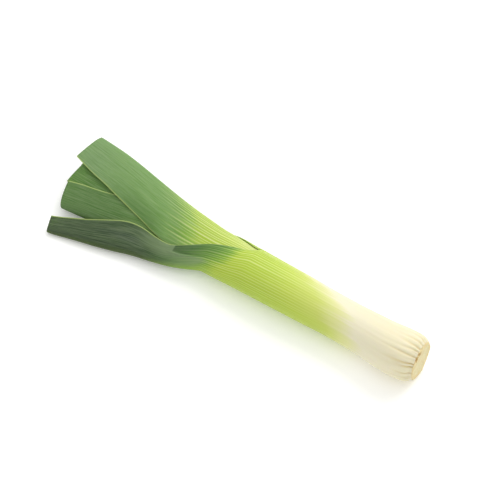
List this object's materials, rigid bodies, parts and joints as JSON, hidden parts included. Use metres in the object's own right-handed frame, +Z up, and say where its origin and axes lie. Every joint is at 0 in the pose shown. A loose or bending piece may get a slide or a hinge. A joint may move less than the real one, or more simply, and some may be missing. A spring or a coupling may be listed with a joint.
{
  "type": "leek",
  "caption": "Trimmed leek lying on its side: a round pale shank with a cut root end, opening into a flat fan of folded green leaves with cut tips.",
  "frame": {"origin": "the middle of the flat spot under the shank, 60 mm from the cut face of the root plate, where the leek rests on a surface", "axes": "+X along the shank towards the root end, +Y across the fan towards the second leaf's keel, +Z up"},
  "size_m": [0.3566, 0.0977, 0.0402],
  "materials": {
    "root_plate": "rough, porous cut",
    "leaf_1_outer": "satin, ribbed along its length",
    "leaf_2": "satin, waxy bloom",
    "leaf_3": "satin, waxy bloom",
    "leaf_4": "satin",
    "leaf_5": "satin",
    "heart": "satin"
  },
  "bodies": {
    "root": {"root_plate": "root_plate", "leaf_1_outer": "leaf_1_outer", "leaf_2": "leaf_2", "leaf_3": "leaf_3", "leaf_4": "leaf_4", "leaf_5": "leaf_5", "heart": "heart"}
  },
  "joints": []
}
